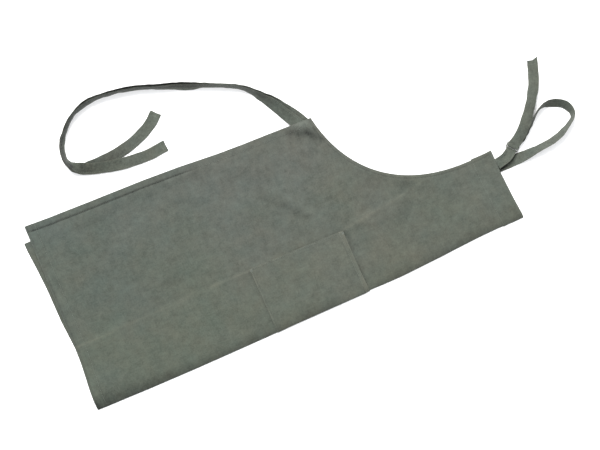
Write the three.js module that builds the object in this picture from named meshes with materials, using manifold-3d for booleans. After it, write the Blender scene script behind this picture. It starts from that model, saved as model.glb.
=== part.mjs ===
// Artist smock apron, folded in half along its centre line and laid flat, front side out.
// Millimetres, +Z up. +X runs along the fold from hem to bib, +Y from the fold to the side edges.
// The origin is under the middle of the folded cloth, on the surface that it lies on.
import * as THREE from 'three';
import { mergeVertices } from 'three/addons/utils/BufferGeometryUtils.js';
import Module from 'manifold-3d';

const wasm = await Module();
wasm.setup();

// Overall sizes.
const LENGTH = 870;
const FOLD_Y = -180;
const FOLD_RADIUS = 4;
const STACK = 2 * FOLD_RADIUS;
const GAP = 0.3;
const SLAB_START = FOLD_RADIUS + GAP;

// Layers of the lower half, from the surface upward. The upper half mirrors them about the fold.
const POCKET_LAYER = [0, 1];
const PANEL_LAYER = [0, 2.3];
const HEM_LAYER = [2.6, 3.8];

// Trim.
const BOTTOM_HEM = 20;
const SIDE_HEM = 13;
const ARMHOLE_HEM = 6;
const BIB_FACING = 41;
const TIE_PATCH = { length: 26, depth: 14, fromWaist: 10 };
const POCKET = { start: 364, end: 552, startReach: 120, endReach: 114, mouthHem: 10 };

// Flat straps and ties.
const STRAP_WIDTH = 20;
const STRAP_THICKNESS = 1;
const END_HEM = { length: 9, thickness: 2 };
const PAIR_SPACING = 3;

// The three-bar strap slider.
const SLIDER = { along: 13, across: 25, bar: 2, slotAcross: 21, thickness: 1.6 };
const SLIDER_CENTRE = [471.5, -51.5, 3.8];
const SLIDER_ANGLE = 41;

// Fineness of the curves, and how far a cutting shape runs past what it cuts.
const CURVE_POINTS = 20;
const ROUND_SIDES = 32;
const CORNER_POINTS = 5;
const STRAP_STEPS = { tie: 72, neck: 44, tail: 20, tab: 8 };
const MARGIN = 5;

// A point given by its distance from the hem and from the fold.
function cut(fromHem, fromFold) {
  return new THREE.Vector2(fromHem - LENGTH / 2, FOLD_Y + fromFold);
}

// The two halves are cut alike, and the fold lies a little off centre at the hem.
const FRONT_CUT = {
  hemBend: cut(1, 118),
  hemCorner: cut(14, 364),
  waist: cut(584, 331),
  armholeA: cut(603, 205),
  armholeB: cut(695, 120),
  bib: cut(868, 136),
};
const BACK_CUT = {
  hemBend: cut(0.5, 118),
  hemCorner: cut(2, 335),
  waist: cut(580, 322),
  armholeA: cut(600, 198),
  armholeB: cut(693, 118),
  bib: cut(867, 133),
};

// Waist ties: x, y, z and tilt in degrees of the pair's middle.
// The two lie face to face for most of their length, then each ends on its own.
const TIE_RUN = [
  [134, 159.5, 4, 0],
  [118, 181, 4, -6],
  [99, 206, 5, -18],
  [77, 232, 7, -34],
  [50, 256, 9.5, -52],
  [11, 279, 10.6, -62],
  [-38, 300, 10.8, -64],
  [-101, 323.5, 10.4, -60],
  [-164, 343, 10.9, -66],
  [-223, 346, 11.2, -70],
  [-261, 328, 11.2, -70],
  [-288, 304, 11, -68],
  [-301, 281, 10.6, -62],
  [-301, 258, 9, -48],
  [-285, 240.5, 5.6, -24],
  [-256, 229, 3, -4],
];
const FRONT_TIE_END = [
  [-219, 223, 2.6, 0],
  [-171, 216, 1.6, 0],
  [-129, 213.5, 0.2, 0],
];
const BACK_TIE_END = [
  [-222, 234, 2.4, 0],
  [-190, 240, 2.4, 0],
  [-156, 249, 2.4, 0],
  [-129, 264, 2.4, 0],
  [-115, 274, 2.4, 0],
];

// Neck strap, from the lower half's bib corner round its loop to the slider.
const NECK_LOOP = [
  [437, -82, 1.6, 0],
  [467, -78.5, 1.6, 0],
  [493, -75.5, 1.6, -2],
  [519, -72.5, 2.4, -8],
  [546, -69, 4.4, -20],
  [567, -63, 7.4, -40],
  [586, -53.5, 9.8, -58],
  [596, -40.5, 10.2, -64],
  [594, -27, 9.2, -54],
  [583, -15, 8.6, -48],
  [566, -8, 9.2, -54],
  [547, -8.5, 10.2, -66],
  [531, -18.5, 7.8, -42],
  [514, -31.5, 5, -22],
  [497, -40.5, 3.4, -10],
  [480.5, -47, 2, 0],
];
const NECK_TAIL = [
  [479, -44.5, 6, 0],
  [496, -32, 10, 0],
  [514, -12.5, 17.2, 0],
  [532.5, 10, 14.6, 0],
  [551.5, 34, 6.6, 0],
  [561, 54, 2.6, 0],
  [567, 69, 1.6, 0],
];
const SLIDER_TAB = [
  [438.6, -69.5, 4.8, 0],
  [450, -67.5, 4.6, 0],
  [460, -62, 4.2, 0],
  [465.6, -57.4, 3.8, 0],
];

// A geometry of plain triangles as a solid, and back.
function solid(geometry) {
  const bare = geometry.index ? geometry.toNonIndexed() : geometry.clone();
  bare.deleteAttribute('normal');
  bare.deleteAttribute('uv');
  const merged = mergeVertices(bare, 1e-4);
  const vertProperties = merged.attributes.position.array;
  const triVerts = new Uint32Array(merged.index.array);
  return new wasm.Manifold(new wasm.Mesh({ numProp: 3, vertProperties, triVerts }));
}

function geometryOf(manifold) {
  const mesh = manifold.getMesh();
  const geometry = new THREE.BufferGeometry();
  geometry.setAttribute('position', new THREE.BufferAttribute(mesh.vertProperties, 3));
  geometry.setIndex(new THREE.BufferAttribute(mesh.triVerts, 1));
  geometry.computeVertexNormals();
  return geometry;
}

// A flat slab of the shape between two heights.
function slab(shape, [low, high]) {
  const settings = { depth: high - low, bevelEnabled: false, curveSegments: CURVE_POINTS };
  const geometry = new THREE.ExtrudeGeometry(shape, settings);
  geometry.translate(0, 0, low);
  return solid(geometry);
}

function mirrored([low, high]) {
  return [STACK - high, STACK - low];
}

// A round bar along X whose centre line is the fold's axis.
function foldBar(radius, fromX, toX) {
  const geometry = new THREE.CylinderGeometry(radius, radius, toX - fromX, ROUND_SIDES);
  geometry.rotateZ(Math.PI / 2);
  geometry.translate((fromX + toX) / 2, FOLD_Y, FOLD_RADIUS);
  return solid(geometry);
}

function box(low, high) {
  const size = high.map((value, axis) => value - low[axis]);
  const geometry = new THREE.BoxGeometry(...size);
  geometry.translate(...high.map((value, axis) => (value + low[axis]) / 2));
  return solid(geometry);
}

function panelShape(half, fromFold) {
  const shape = new THREE.Shape();
  shape.moveTo(-LENGTH / 2, FOLD_Y + fromFold);
  shape.lineTo(LENGTH / 2, FOLD_Y + fromFold);
  shape.lineTo(half.bib.x, half.bib.y);
  const { armholeB, armholeA, waist } = half;
  shape.bezierCurveTo(armholeB.x, armholeB.y, armholeA.x, armholeA.y, waist.x, waist.y);
  shape.lineTo(half.hemCorner.x, half.hemCorner.y);
  shape.lineTo(half.hemBend.x, half.hemBend.y);
  shape.closePath();
  return shape;
}

// The patch pocket wraps round the fold. Grown by a margin it cuts its own recess in the panel.
function pocketShape(fromFold, grow, start = POCKET.start, end = POCKET.end) {
  const slope = (POCKET.endReach - POCKET.startReach) / (POCKET.end - POCKET.start);
  const reach = (x) => POCKET.startReach + slope * (x - POCKET.start);
  const corners = [
    cut(start - grow, fromFold),
    cut(end + grow, fromFold),
    cut(end + grow, reach(end) + grow),
    cut(start - grow, reach(start) + grow),
  ];
  return new THREE.Shape(corners);
}

// A band inside the cut's edge from one point to another, on the left of the way from a to b.
function edgeBand(a, b, width, before = 0, after = 0) {
  const along = b.clone().sub(a).normalize();
  const inward = new THREE.Vector2(-along.y, along.x);
  const start = a.clone().addScaledVector(along, -before);
  const end = b.clone().addScaledVector(along, after);
  const outward = -MARGIN;
  return new THREE.Shape([
    start.clone().addScaledVector(inward, outward),
    end.clone().addScaledVector(inward, outward),
    end.clone().addScaledVector(inward, width),
    start.clone().addScaledVector(inward, width),
  ]);
}

// The narrow turned hem that follows the armhole's curve.
function armholeBand(half, width) {
  const { bib, armholeB, armholeA, waist } = half;
  const curve = new THREE.CubicBezierCurve(bib, armholeB, armholeA, waist);
  const edge = [];
  const inner = [];
  for (let i = 0; i <= CURVE_POINTS; i += 1) {
    const point = curve.getPoint(i / CURVE_POINTS);
    const tangent = curve.getTangent(i / CURVE_POINTS);
    const inward = new THREE.Vector2(-tangent.y, tangent.x);
    edge.push(point);
    inner.push(point.clone().addScaledVector(inward, width));
  }
  return new THREE.Shape([...edge, ...inner.reverse()]);
}

// A flat strap follows its route, turned about its own line by the route's tilt.
class StrapCurve extends THREE.CatmullRomCurve3 {
  constructor(route) {
    super(route.map(([x, y, z]) => new THREE.Vector3(x, y, z)));
    this.tilts = route.map((point) => THREE.MathUtils.degToRad(point[3]));
  }

  tiltAt(u) {
    const t = this.getUtoTmapping(u) * (this.tilts.length - 1);
    const i = Math.min(Math.floor(t), this.tilts.length - 2);
    const ease = THREE.MathUtils.smoothstep(t - i, 0, 1);
    return THREE.MathUtils.lerp(this.tilts[i], this.tilts[i + 1], ease);
  }

  computeFrenetFrames(segments) {
    const frames = { tangents: [], normals: [], binormals: [] };
    const up = new THREE.Vector3(0, 0, 1);
    for (let i = 0; i <= segments; i += 1) {
      const tangent = this.getTangentAt(i / segments);
      const across = up.clone().cross(tangent).normalize();
      across.applyAxisAngle(tangent, this.tiltAt(i / segments));
      frames.tangents.push(tangent);
      frames.normals.push(across);
      frames.binormals.push(tangent.clone().cross(across));
    }
    return frames;
  }
}

// A strap of the given section, its middle raised along its own face by the offset.
function strapGeometry(route, steps, offset = 0) {
  const halfWidth = STRAP_WIDTH / 2;
  const low = offset - STRAP_THICKNESS / 2;
  const high = offset + STRAP_THICKNESS / 2;
  const section = new THREE.Shape([
    new THREE.Vector2(-halfWidth, low),
    new THREE.Vector2(halfWidth, low),
    new THREE.Vector2(halfWidth, high),
    new THREE.Vector2(-halfWidth, high),
  ]);
  const settings = { steps, bevelEnabled: false, extrudePath: new StrapCurve(route) };
  return new THREE.ExtrudeGeometry(section, settings);
}

// The turned and stitched end of a strap, just past the end of its route.
function endHemMesh(name, route, offset, material) {
  const geometry = new THREE.BoxGeometry(END_HEM.length, STRAP_WIDTH, END_HEM.thickness);
  const curve = new StrapCurve(route);
  const tangent = curve.getTangentAt(1);
  const end = curve.getPointAt(1);
  const mesh = named(name, geometry, material);
  const past = END_HEM.length / 2 + GAP;
  const lift = Math.max(END_HEM.thickness / 2 + GAP, end.z + offset);
  mesh.position.set(end.x + tangent.x * past, end.y + tangent.y * past, lift);
  mesh.rotation.z = Math.atan2(tangent.y, tangent.x);
  return mesh;
}

function named(name, geometry, material) {
  const mesh = new THREE.Mesh(geometry, material);
  mesh.name = name;
  return mesh;
}

// One half of the apron's cloth with its hems, in the layers given.
function clothHalf(side, half, layer, trimMaterial) {
  const cloth = slab(panelShape(half, side === 'front' ? SLAB_START : 0), layer(PANEL_LAYER));
  const hemLayer = layer(HEM_LAYER);
  const trimArea = slab(panelShape(half, SLAB_START), hemLayer);
  const band = (shape) => trimArea.intersect(slab(shape, hemLayer));
  const grown = (a, b, width) => slab(edgeBand(a, b, width + GAP, MARGIN, MARGIN), hemLayer);

  const bibFold = cut(LENGTH, 0);
  const bibLine = [bibFold.clone().setY(FOLD_Y - MARGIN), bibFold.clone().setY(0)];
  const bibFacing = band(edgeBand(...bibLine, BIB_FACING));
  const bibRoom = grown(...bibLine, BIB_FACING);

  const along = half.hemCorner.clone().sub(half.waist).normalize();
  const patchStart = half.waist.clone().addScaledVector(along, TIE_PATCH.fromWaist);
  const patchEnd = patchStart.clone().addScaledVector(along, TIE_PATCH.length);
  const sideStart = patchEnd.clone().addScaledVector(along, GAP);
  const tiePatch = band(edgeBand(patchStart, patchEnd, TIE_PATCH.depth));
  const sideHem = band(edgeBand(sideStart, half.hemCorner, SIDE_HEM, 0, MARGIN));
  const sideRoom = grown(half.waist, half.hemCorner, SIDE_HEM);

  const bottomBand = edgeBand(half.hemCorner, cut(0, 0), BOTTOM_HEM, MARGIN, 0);
  const bottomHem = band(bottomBand).subtract(sideRoom);
  const patchRoom = slab(edgeBand(patchStart, patchEnd, TIE_PATCH.depth + GAP, GAP, GAP), hemLayer);
  const armholeHem = band(armholeBand(half, ARMHOLE_HEM)).subtract(bibRoom).subtract(patchRoom);

  const trim = {
    bottom_hem: bottomHem,
    side_hem: sideHem,
    armhole_hem: armholeHem,
    bib_facing: bibFacing,
    tie_patch: tiePatch,
  };
  const meshes = Object.entries(trim).map(([name, manifold]) =>
    named(`${name}_${side}`, geometryOf(manifold), trimMaterial()));
  return { cloth, meshes };
}

// The three-bar slider: a flat ring with rounded corners and a bar across its middle.
function sliderGeometry() {
  const { along, across, bar, slotAcross, thickness } = SLIDER;
  const outline = [];
  for (let corner = 0; corner < 4; corner += 1) {
    const signX = corner === 0 || corner === 3 ? 1 : -1;
    const signY = corner < 2 ? 1 : -1;
    const centre = new THREE.Vector2(signX * (along / 2 - bar), signY * (across / 2 - bar));
    for (let i = 0; i <= CORNER_POINTS; i += 1) {
      const angle = (corner + i / CORNER_POINTS) * (Math.PI / 2);
      const spoke = new THREE.Vector2(Math.cos(angle), Math.sin(angle));
      outline.push(centre.clone().addScaledVector(spoke, bar));
    }
  }
  const height = [-thickness / 2, thickness / 2];
  const slotLength = (along - 3 * bar) / 2;
  let ring = slab(new THREE.Shape(outline), height);
  for (const side of [-1, 1]) {
    const middle = (side * (bar + slotLength)) / 2;
    const low = [middle - slotLength / 2, -slotAcross / 2, -thickness];
    const high = [middle + slotLength / 2, slotAcross / 2, thickness];
    ring = ring.subtract(box(low, high));
  }
  return geometryOf(ring);
}

const fabric = (colour) => () =>
  new THREE.MeshStandardMaterial({ color: colour, roughness: 0.95, metalness: 0 });
const panelCloth = fabric(0x6c7269);
const trimCloth = fabric(0x646a61);
const strapCloth = fabric(0x747a70);
const sliderMetal = () =>
  new THREE.MeshStandardMaterial({ color: 0x55584f, roughness: 0.4, metalness: 0.8 });

const back = clothHalf('back', BACK_CUT, (layer) => layer, trimCloth);
const front = clothHalf('front', FRONT_CUT, mirrored, trimCloth);

// The lower half carries the fold's roll, which is slimmer where the pocket wraps it.
const pocketFrom = POCKET.start - LENGTH / 2;
const pocketTo = POCKET.end - LENGTH / 2;
const wrapInner = FOLD_RADIUS - (POCKET_LAYER[1] - POCKET_LAYER[0]);
const backRecess = slab(pocketShape(0, GAP), [-MARGIN, POCKET_LAYER[1] + GAP]);
const besideRoll = box(
  [pocketFrom - MARGIN, FOLD_Y, POCKET_LAYER[1] + GAP],
  [pocketTo + MARGIN, FOLD_Y + STACK + MARGIN, STACK],
);
const rollRecess = foldBar(FOLD_RADIUS + MARGIN, pocketFrom - GAP, pocketTo + GAP)
  .subtract(foldBar(wrapInner - GAP, pocketFrom - MARGIN, pocketTo + MARGIN))
  .subtract(besideRoll);
const panelBack = back.cloth
  .add(foldBar(FOLD_RADIUS, -LENGTH / 2, LENGTH / 2))
  .subtract(backRecess)
  .subtract(rollRecess);
const topRecess = box(
  [pocketFrom - GAP, FOLD_Y, mirrored(POCKET_LAYER)[0] - GAP],
  [pocketTo + GAP, FOLD_Y + SLAB_START, STACK + MARGIN],
);
const frontRecess = slab(pocketShape(0, GAP), [mirrored(POCKET_LAYER)[0] - GAP, STACK + MARGIN]);
const panelFront = front.cloth.subtract(frontRecess);

// The pocket: its lower half takes the wrap round the fold, and each half ends in a hemmed mouth.
const pocketMouth = POCKET.end - POCKET.mouthHem;
const innerSide = box(
  [pocketFrom - MARGIN, FOLD_Y, -MARGIN],
  [pocketTo + MARGIN, FOLD_Y + MARGIN, STACK + MARGIN],
);
const wrap = foldBar(FOLD_RADIUS, pocketFrom, pocketTo)
  .subtract(foldBar(wrapInner, pocketFrom - MARGIN, pocketTo + MARGIN))
  .subtract(innerSide);
const pocketBackFull = slab(pocketShape(0, 0), POCKET_LAYER).add(wrap);
const pastReach = FOLD_Y + POCKET.startReach + MARGIN;
const mouthSlice = (start, end) =>
  box([start - LENGTH / 2, FOLD_Y - MARGIN, -MARGIN], [end - LENGTH / 2, pastReach, STACK + MARGIN]);
const pocketBody = mouthSlice(POCKET.start - MARGIN, pocketMouth - GAP);
const pocketBack = pocketBackFull.intersect(pocketBody);
const pocketBackMouth = pocketBackFull.intersect(mouthSlice(pocketMouth, POCKET.end + MARGIN));
const pocketFrontFull = slab(pocketShape(SLAB_START, 0), mirrored(POCKET_LAYER));
const pocketFront = pocketFrontFull.intersect(pocketBody);
const pocketFrontMouth = pocketFrontFull.intersect(mouthSlice(pocketMouth, POCKET.end + MARGIN));

const backHalf = new THREE.Group();
backHalf.add(
  named('panel_back', geometryOf(panelBack.subtract(topRecess)), panelCloth()),
  ...back.meshes,
  named('pocket_back', geometryOf(pocketBack), panelCloth()),
  named('pocket_mouth_hem_back', geometryOf(pocketBackMouth), trimCloth()),
);

const frontHalf = new THREE.Group();
frontHalf.add(
  named('panel_front', geometryOf(panelFront), panelCloth()),
  ...front.meshes,
  named('pocket_front', geometryOf(pocketFront), panelCloth()),
  named('pocket_mouth_hem_front', geometryOf(pocketFrontMouth), trimCloth()),
);

const frontTie = [...TIE_RUN, ...FRONT_TIE_END];
const backTie = [...TIE_RUN, ...BACK_TIE_END];
frontHalf.add(
  named('waist_tie_front', strapGeometry(frontTie, STRAP_STEPS.tie, PAIR_SPACING / 2), strapCloth()),
  endHemMesh('tie_end_hem_front', frontTie, PAIR_SPACING / 2, trimCloth()),
);
backHalf.add(
  named('waist_tie_back', strapGeometry(backTie, STRAP_STEPS.tie, -PAIR_SPACING / 2), strapCloth()),
  endHemMesh('tie_end_hem_back', backTie, -PAIR_SPACING / 2, trimCloth()),
);

backHalf.add(
  named('neck_strap', strapGeometry(NECK_LOOP, STRAP_STEPS.neck), strapCloth()),
  named('neck_strap_tail', strapGeometry(NECK_TAIL, STRAP_STEPS.tail), strapCloth()),
  endHemMesh('neck_strap_end_hem', NECK_TAIL, 0, trimCloth()),
);

const slider = named('strap_slider', sliderGeometry(), sliderMetal());
slider.position.set(...SLIDER_CENTRE);
slider.rotation.z = THREE.MathUtils.degToRad(SLIDER_ANGLE);
frontHalf.add(
  named('slider_tab', strapGeometry(SLIDER_TAB, STRAP_STEPS.tab), strapCloth()),
  slider,
);

const apron = new THREE.Group();
apron.add(backHalf, frontHalf);

export default apron;
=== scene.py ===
import math
import bpy
import numpy as np
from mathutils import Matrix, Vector


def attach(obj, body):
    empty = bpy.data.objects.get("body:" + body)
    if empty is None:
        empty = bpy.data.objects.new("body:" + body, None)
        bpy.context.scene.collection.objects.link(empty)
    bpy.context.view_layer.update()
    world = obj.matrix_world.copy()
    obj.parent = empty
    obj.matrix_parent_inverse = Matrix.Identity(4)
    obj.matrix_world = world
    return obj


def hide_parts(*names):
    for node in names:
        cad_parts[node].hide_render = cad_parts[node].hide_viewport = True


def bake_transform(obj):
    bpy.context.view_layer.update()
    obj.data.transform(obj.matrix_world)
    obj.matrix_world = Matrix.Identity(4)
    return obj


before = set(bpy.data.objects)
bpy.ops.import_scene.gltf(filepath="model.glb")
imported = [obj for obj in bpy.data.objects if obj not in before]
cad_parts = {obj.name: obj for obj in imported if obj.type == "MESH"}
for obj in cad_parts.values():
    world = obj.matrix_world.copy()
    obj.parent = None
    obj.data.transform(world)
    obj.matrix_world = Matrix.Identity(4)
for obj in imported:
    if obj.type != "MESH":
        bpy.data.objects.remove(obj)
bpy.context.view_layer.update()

# Shapes are worked out in millimetres in the row frame and written to meshes in metres.
MM = 0.001
LENGTH = 870.0
HALF_LENGTH = LENGTH / 2
FOLD_Y = -180.0
rng = np.random.default_rng(11)

BACK, FRONT = "back_half", "front_half"


def placed(name, data):
    """A new object in the scene."""
    obj = bpy.data.objects.new(name, data)
    bpy.context.scene.collection.objects.link(obj)
    return obj


# -------- camera

VIEW_CENTRE = (0.0488, -0.0235)
VIEW_WIDTH = 1.119
LENS, SENSOR = 85.0, 36.0
VIEW_TURN = math.radians(-24.26)
CLOTH_TOP = 0.006

camera_data = bpy.data.cameras.new("camera")
camera_data.lens = LENS
camera_data.sensor_width = SENSOR
camera_data.clip_end = 50
camera = placed("camera", camera_data)
camera.location = (*VIEW_CENTRE, VIEW_WIDTH * LENS / SENSOR + CLOTH_TOP)
camera.rotation_euler = (0, 0, VIEW_TURN)
bpy.context.scene.camera = camera


# -------- small helpers

def smooth(low, high, x):
    t = np.clip((x - low) / (high - low), 0, 1)
    return t * t * (3 - 2 * t)


def bell(x, width):
    return np.exp(-((x / width) ** 2))


def unit(v):
    return v / np.maximum(np.linalg.norm(v, axis=-1, keepdims=True), 1e-12)


def waves(x, y, wavelength, seed, count=36, stretch=1.0):
    """A smooth random surface with a root mean square of 1."""
    r = np.random.default_rng(seed)
    total = np.zeros_like(x)
    for _ in range(count):
        angle = r.uniform(0, 2 * math.pi)
        k = 2 * math.pi / (wavelength * r.uniform(0.7, 1.5))
        phase = r.uniform(0, 2 * math.pi)
        total += np.sin(k * (math.cos(angle) * x / stretch + math.sin(angle) * y) + phase)
    return total * math.sqrt(2 / count)


def line_distance(x, y, points):
    """Distance from each point to a polyline, how far along the polyline that is, and its length."""
    best = np.full(np.shape(x), 1e9)
    along = np.zeros(np.shape(x))
    run = 0.0
    for (ax, ay), (bx, by) in zip(points[:-1], points[1:]):
        length = math.hypot(bx - ax, by - ay)
        ux, uy = (bx - ax) / length, (by - ay) / length
        t = np.clip((x - ax) * ux + (y - ay) * uy, 0, length)
        d = np.hypot(x - ax - ux * t, y - ay - uy * t)
        nearer = d < best
        best = np.where(nearer, d, best)
        along = np.where(nearer, run + t, along)
        run += length
    return best, along, run


def make_mesh(name, verts, faces, uv=None, values=None):
    """A smooth mesh of points in millimetres, with its flat coordinates and its values at every point."""
    mesh = bpy.data.meshes.new(name)
    mesh.from_pydata((np.asarray(verts) * MM).tolist(), [], faces)
    mesh.polygons.foreach_set("use_smooth", [True] * len(mesh.polygons))
    if uv is not None:
        layer = mesh.uv_layers.new(name="flat")
        loops = np.zeros(len(mesh.loops), np.int32)
        mesh.loops.foreach_get("vertex_index", loops)
        layer.data.foreach_set("uv", (np.asarray(uv)[loops] * MM).astype(np.float32).ravel())
    for key, value in (values or {}).items():
        attribute = mesh.attributes.new(key, "FLOAT", "POINT")
        attribute.data.foreach_set("value", np.asarray(value, np.float32).ravel())
    mesh.update()
    return placed(name, mesh)


def tube_faces(rings, around, closed=False):
    """Faces of a tube of rings, joined end to end when it is closed and capped when it isn't."""
    index = np.arange(rings * around).reshape(rings, around)
    a, b = (index, np.roll(index, -1, 0)) if closed else (index[:-1], index[1:])
    faces = np.stack([a, np.roll(a, -1, 1), np.roll(b, -1, 1), b], -1).reshape(-1, 4).tolist()
    if not closed:
        faces += [index[0][::-1].tolist(), index[-1].tolist()]
    return [f[::-1] for f in faces]


def grid_normals(points):
    return unit(np.cross(np.gradient(points, axis=1), np.gradient(points, axis=0)))


def both_layers(low, top):
    """One grid that runs from the lower layer's edge, round the fold, to the upper layer's edge."""
    return np.concatenate([low[::-1], top[1:]])


def run_of(points):
    """Distance along a line at each of its points."""
    return np.concatenate([[0], np.cumsum(np.linalg.norm(np.diff(points, axis=0), axis=1))])


def points_at(s, run, line):
    """Points of a line at given distances along it."""
    return np.stack([np.interp(s, run, line[:, i]) for i in range(line.shape[1])], -1)


def shell(name, middle, half_thick, uv, values, bulge=0.3):
    """A closed sheet round a grid of middle points, with a rounded rim."""
    flat = middle.reshape(-1, 3)
    offset = grid_normals(middle).reshape(-1, 3) * half_thick
    count = len(flat)
    index = np.arange(count).reshape(middle.shape[:2])
    ring = np.concatenate([index[0], index[1:, -1], index[-1, -2::-1], index[-2:0:-1, 0]])
    inner = middle.copy()
    inner[0], inner[-1] = middle[1], middle[-2]
    inner[:, 0], inner[:, -1] = middle[:, 1], middle[:, -2]
    away = unit((flat - inner.reshape(-1, 3))[ring])
    verts = np.concatenate([flat + offset, flat - offset, flat[ring] + away * bulge])
    quads = np.stack([index[:-1, :-1], index[:-1, 1:], index[1:, 1:], index[1:, :-1]], -1).reshape(-1, 4)
    rim = 2 * count + np.arange(len(ring))
    next_rim, next_ring = np.roll(rim, -1), np.roll(ring, -1)
    faces = np.concatenate([quads, quads[:, ::-1] + count, np.stack([next_ring, ring, rim, next_rim], 1),
                            np.stack([next_rim, rim, ring + count, next_ring + count], 1)]).tolist()
    flat_values = {key: np.reshape(value, -1) for key, value in values.items()}
    uv = uv.reshape(-1, 2)
    return make_mesh(name, verts, faces, np.concatenate([uv, uv, uv[ring]]),
                     {key: np.concatenate([v, v, v[ring]]) for key, v in flat_values.items()})


# -------- the cut

def cut(from_hem, from_fold):
    """A plan point from its distances to the hem and the fold."""
    return (from_hem - HALF_LENGTH, FOLD_Y + from_fold)


def bezier(p0, p1, p2, p3, count):
    t = np.linspace(0, 1, count)[:, None]
    p0, p1, p2, p3 = (np.array(p, float) for p in (p0, p1, p2, p3))
    return (1 - t) ** 3 * p0 + 3 * t * (1 - t) ** 2 * p1 + 3 * t * t * (1 - t) * p2 + t ** 3 * p3


class Half:
    """One half's outline, its body, and which way its outer face looks: up is 1, down is -1."""

    def __init__(self, name, body, up, hem, side, arm_a, arm_b, bib_end):
        self.name, self.body, self.up = name, body, up
        self.hem, self.side, self.bib_end = (
            np.array([cut(*point) for point in line]) for line in (hem, side, bib_end))
        self.waist = self.side[-1]
        self.arm = bezier(self.waist, cut(*arm_a), cut(*arm_b), self.bib_end[0], 60)
        self.down_side = unit(self.side[0] - self.waist)


# Distances from the hem and from the fold, along each edge.
front_cut = Half(
    "front", FRONT, 1,
    [(-2, -12), (-2, 12), (-0.6, 35), (3, 65), (6, 95), (7.6, 118), (8.4, 150), (10, 220), (12, 290),
     (14, 364.8)],
    [(14, 364.8), (60, 361.4), (150, 357), (250, 352.8), (320, 348), (400, 340.4), (450, 337.2), (500, 335),
     (584, 330.5)],
    (603, 206), (694, 120.5),
    [(865.4, 137.4), (865, 90), (866.4, 60), (867.4, 40), (869, 20), (870.4, 4), (870.4, -12)])
back_cut = Half(
    "back", BACK, -1,
    [(-1, -12), (-1, 12), (1, 40), (4, 80), (6, 118), (4.6, 145), (3, 175), (3.4, 240), (1.6, 285),
     (-0.8, 322), (-0.6, 336)],
    [(-0.6, 336), (150, 333), (350, 328), (580, 322)],
    (600, 198), (693, 118), [(864, 134), (865, 90), (867, 40), (870, -12)])
HALVES = (front_cut, back_cut)

SIDE_COLS, ARM_COLS = 176, 124
WAIST_FOOT = 552.0


def edge_points(half):
    """The edge point of every column, from the hem's corner to the bib."""
    out = []
    for line, count, last in ((half.side, SIDE_COLS, False), (half.arm, ARM_COLS, True)):
        run = run_of(line)
        out.append(points_at(np.linspace(0, run[-1], count, endpoint=last), run, line))
    return np.concatenate(out)


foot_x = np.concatenate([
    np.linspace(0, WAIST_FOOT, SIDE_COLS, endpoint=False),
    np.linspace(WAIST_FOOT, LENGTH, ARM_COLS),
]) - HALF_LENGTH
COLS = SIDE_COLS + ARM_COLS


def fold_edge(x):
    """Where the folded edge runs: it bows out a little between the hem and the bib."""
    hem = x + HALF_LENGTH
    stations = [0, 20, 60, 100, 200, 300, 360, 400, 460, 545, 555, 580, 620, 660, 700, 740, 780, 820, 850,
                870]
    reach = [183.4, 184.4, 185.3, 186.6, 188.3, 188.8, 188.9, 188.4, 188.8, 189.2, 187.9, 188.6, 189, 187.4,
             185.8, 183.5, 181.6, 180.9, 182.2, 181.8]
    return -np.interp(hem, stations, reach)


POCKET_FROM, POCKET_TO = 364 - HALF_LENGTH, 552 - HALF_LENGTH
POCKET_START_Y, POCKET_END_Y = FOLD_Y + 120, FOLD_Y + 114
# A long pressed crease, painted pale along its ridge with wear and painted highlight, that runs from the hem
# past the pocket's edge.
CREASE = [(-440, -60.5), (-330, -61), (-200, -61), (-71, -62), (20, -65), (111, -66),
          (160, -61), (220, -55), (272, -47), (330, -36)]


def pocket_reach(x):
    """The y of the pocket's long edge at each x."""
    t = (x - POCKET_FROM) / (POCKET_TO - POCKET_FROM)
    return POCKET_START_Y + (POCKET_END_Y - POCKET_START_Y) * t


def above_crease(x, y):
    return y - np.interp(x, [p[0] for p in CREASE], [p[1] for p in CREASE])


def inside_pocket(x, y):
    """Distance in from the pocket's stitched edges and its mouth."""
    return np.minimum(np.minimum(x - POCKET_FROM, POCKET_TO - x), pocket_reach(x) - y)


def in_pocket(x, y, soft=3.0):
    return smooth(-soft, soft * 0.3, inside_pocket(x, y))


# -------- heights of the two layers

CLOTH = 0.8
HALF_CLOTH = CLOTH / 2
TOP_LEVEL = 6.0
# No wrinkle of the upper layer reaches lower than this.
LOWEST_TOP = 5.05


def roll_table():
    """Height gained over distance from the folded edge, as a share of the whole rise."""
    s = np.linspace(0, 70, 7001)
    slope = np.radians(58 * np.exp(-s / 1.0) + 32 * np.exp(-s / 9.5))
    q = np.concatenate([[0], np.cumsum(np.cos(slope[:-1]) * np.diff(s))])
    z = np.concatenate([[0], np.cumsum(np.sin(slope[:-1]) * np.diff(s))])
    return q, z / z[-1]


ROLL_Q, ROLL_Z = roll_table()


def tip_height(x):
    """Height of the folded edge's outermost line, which is higher where the pocket is wrapped round it."""
    return 1.35 + 0.95 * in_pocket(x, np.full_like(x, FOLD_Y))


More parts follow.
